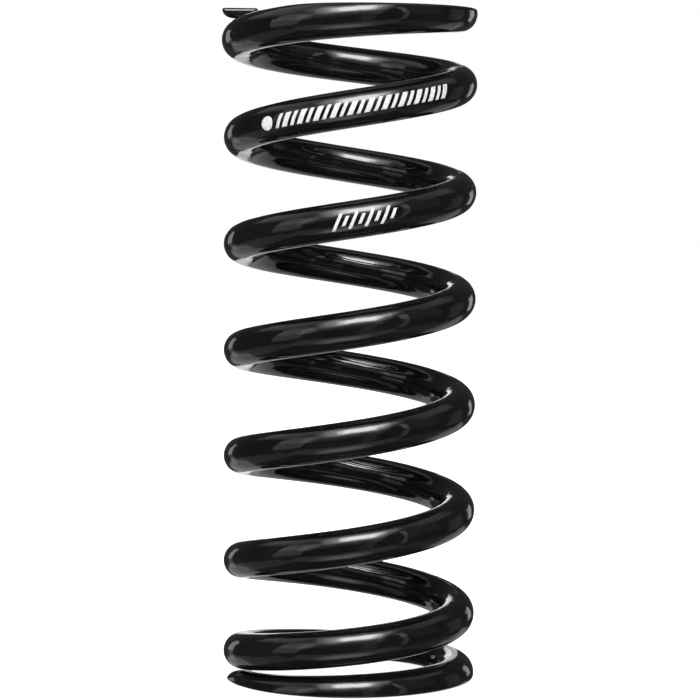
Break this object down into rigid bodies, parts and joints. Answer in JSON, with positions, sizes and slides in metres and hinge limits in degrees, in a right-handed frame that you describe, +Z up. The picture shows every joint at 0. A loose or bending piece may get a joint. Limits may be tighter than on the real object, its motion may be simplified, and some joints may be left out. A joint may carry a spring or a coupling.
{
  "type": "rear shock coil spring",
  "caption": "Bare coil spring of a mountain bike rear shock: right-hand round steel wire with closed, ground ends and a gloss black coat; compresses over its full stroke.",
  "frame": {"origin": "on the spring's axis, in the plane of the lower ground face", "axes": "+Z up the spring's axis, from the lower ground face to the upper one; -Y is the front, the side that bears the printed marks; +X is its right"},
  "size_m": [0.0516, 0.0516, 0.1365],
  "materials": {
    "black_coat": "gloss",
    "white_print": "satin"
  },
  "bodies": {
    "lower_end": {"lower_end_coil": "black_coat"},
    "upper_end": {"upper_end_coil": "black_coat"},
    "coil_2_right_run": {"coil_2_right": "black_coat"},
    "coil_2_back_run": {"coil_2_back": "black_coat"},
    "coil_2_left_run": {"coil_2_left": "black_coat"},
    "coil_3_front_run": {"coil_3_front": "black_coat"},
    "coil_3_right_run": {"coil_3_right": "black_coat"},
    "coil_3_back_run": {"coil_3_back": "black_coat"},
    "coil_3_left_run": {"coil_3_left": "black_coat"},
    "coil_4_front_run": {"coil_4_front": "black_coat"},
    "coil_4_right_run": {"coil_4_right": "black_coat"},
    "coil_4_back_run": {"coil_4_back": "black_coat"},
    "coil_4_left_run": {"coil_4_left": "black_coat"},
    "coil_5_front_run": {"coil_5_front": "black_coat"},
    "coil_5_right_run": {"coil_5_right": "black_coat"},
    "coil_5_back_run": {"coil_5_back": "black_coat"},
    "coil_5_left_run": {"coil_5_left": "black_coat"},
    "coil_6_front_run": {"coil_6_front": "black_coat"},
    "coil_6_right_run": {"coil_6_right": "black_coat"},
    "coil_6_back_run": {"coil_6_back": "black_coat"},
    "coil_6_left_run": {"coil_6_left": "black_coat"},
    "coil_7_front_run": {"coil_7_front": "black_coat"},
    "coil_7_right_run": {"coil_7_right": "black_coat"}
  },
  "joints": [
    {"name": "compression", "type": "slide", "parent": "lower_end", "child": "upper_end", "axis": [0, 0, -1], "range_m": [0, 0.0635], "stiffness_N_per_m": 61294},
    {"name": "coil_2_right_travel", "type": "slide", "parent": "lower_end", "child": "coil_2_right_run", "axis": [0, 0, -1], "range_m": [0, 0.00156]},
    {"name": "coil_2_back_travel", "type": "slide", "parent": "lower_end", "child": "coil_2_back_run", "axis": [0, 0, -1], "range_m": [0, 0.00458]},
    {"name": "coil_2_left_travel", "type": "slide", "parent": "lower_end", "child": "coil_2_left_run", "axis": [0, 0, -1], "range_m": [0, 0.00761]},
    {"name": "coil_3_front_travel", "type": "slide", "parent": "lower_end", "child": "coil_3_front_run", "axis": [0, 0, -1], "range_m": [0, 0.01064]},
    {"name": "coil_3_right_travel", "type": "slide", "parent": "lower_end", "child": "coil_3_right_run", "axis": [0, 0, -1], "range_m": [0, 0.01366]},
    {"name": "coil_3_back_travel", "type": "slide", "parent": "lower_end", "child": "coil_3_back_run", "axis": [0, 0, -1], "range_m": [0, 0.01668]},
    {"name": "coil_3_left_travel", "type": "slide", "parent": "lower_end", "child": "coil_3_left_run", "axis": [0, 0, -1], "range_m": [0, 0.0197]},
    {"name": "coil_4_front_travel", "type": "slide", "parent": "lower_end", "child": "coil_4_front_run", "axis": [0, 0, -1], "range_m": [0, 0.02273]},
    {"name": "coil_4_right_travel", "type": "slide", "parent": "lower_end", "child": "coil_4_right_run", "axis": [0, 0, -1], "range_m": [0, 0.02575]},
    {"name": "coil_4_back_travel", "type": "slide", "parent": "lower_end", "child": "coil_4_back_run", "axis": [0, 0, -1], "range_m": [0, 0.02878]},
    {"name": "coil_4_left_travel", "type": "slide", "parent": "lower_end", "child": "coil_4_left_run", "axis": [0, 0, -1], "range_m": [0, 0.0318]},
    {"name": "coil_5_front_travel", "type": "slide", "parent": "lower_end", "child": "coil_5_front_run", "axis": [0, 0, -1], "range_m": [0, 0.03482]},
    {"name": "coil_5_right_travel", "type": "slide", "parent": "lower_end", "child": "coil_5_right_run", "axis": [0, 0, -1], "range_m": [0, 0.03785]},
    {"name": "coil_5_back_travel", "type": "slide", "parent": "lower_end", "child": "coil_5_back_run", "axis": [0, 0, -1], "range_m": [0, 0.04087]},
    {"name": "coil_5_left_travel", "type": "slide", "parent": "lower_end", "child": "coil_5_left_run", "axis": [0, 0, -1], "range_m": [0, 0.0439]},
    {"name": "coil_6_front_travel", "type": "slide", "parent": "lower_end", "child": "coil_6_front_run", "axis": [0, 0, -1], "range_m": [0, 0.04692]},
    {"name": "coil_6_right_travel", "type": "slide", "parent": "lower_end", "child": "coil_6_right_run", "axis": [0, 0, -1], "range_m": [0, 0.04994]},
    {"name": "coil_6_back_travel", "type": "slide", "parent": "lower_end", "child": "coil_6_back_run", "axis": [0, 0, -1], "range_m": [0, 0.05296]},
    {"name": "coil_6_left_travel", "type": "slide", "parent": "lower_end", "child": "coil_6_left_run", "axis": [0, 0, -1], "range_m": [0, 0.05599]},
    {"name": "coil_7_front_travel", "type": "slide", "parent": "lower_end", "child": "coil_7_front_run", "axis": [0, 0, -1], "range_m": [0, 0.05902]},
    {"name": "coil_7_right_travel", "type": "slide", "parent": "lower_end", "child": "coil_7_right_run", "axis": [0, 0, -1], "range_m": [0, 0.06204]}
  ],
  "couplings": [
    {"joint": "coil_2_right_travel", "follows": "compression", "ratio": 0.0238},
    {"joint": "coil_2_back_travel", "follows": "compression", "ratio": 0.0714},
    {"joint": "coil_2_left_travel", "follows": "compression", "ratio": 0.119},
    {"joint": "coil_3_front_travel", "follows": "compression", "ratio": 0.1667},
    {"joint": "coil_3_right_travel", "follows": "compression", "ratio": 0.2143},
    {"joint": "coil_3_back_travel", "follows": "compression", "ratio": 0.2619},
    {"joint": "coil_3_left_travel", "follows": "compression", "ratio": 0.3095},
    {"joint": "coil_4_front_travel", "follows": "compression", "ratio": 0.3571},
    {"joint": "coil_4_right_travel", "follows": "compression", "ratio": 0.4048},
    {"joint": "coil_4_back_travel", "follows": "compression", "ratio": 0.4524},
    {"joint": "coil_4_left_travel", "follows": "compression", "ratio": 0.5},
    {"joint": "coil_5_front_travel", "follows": "compression", "ratio": 0.5476},
    {"joint": "coil_5_right_travel", "follows": "compression", "ratio": 0.5952},
    {"joint": "coil_5_back_travel", "follows": "compression", "ratio": 0.6429},
    {"joint": "coil_5_left_travel", "follows": "compression", "ratio": 0.6905},
    {"joint": "coil_6_front_travel", "follows": "compression", "ratio": 0.7381},
    {"joint": "coil_6_right_travel", "follows": "compression", "ratio": 0.7857},
    {"joint": "coil_6_back_travel", "follows": "compression", "ratio": 0.8333},
    {"joint": "coil_6_left_travel", "follows": "compression", "ratio": 0.881},
    {"joint": "coil_7_front_travel", "follows": "compression", "ratio": 0.9286},
    {"joint": "coil_7_right_travel", "follows": "compression", "ratio": 0.9762}
  ]
}
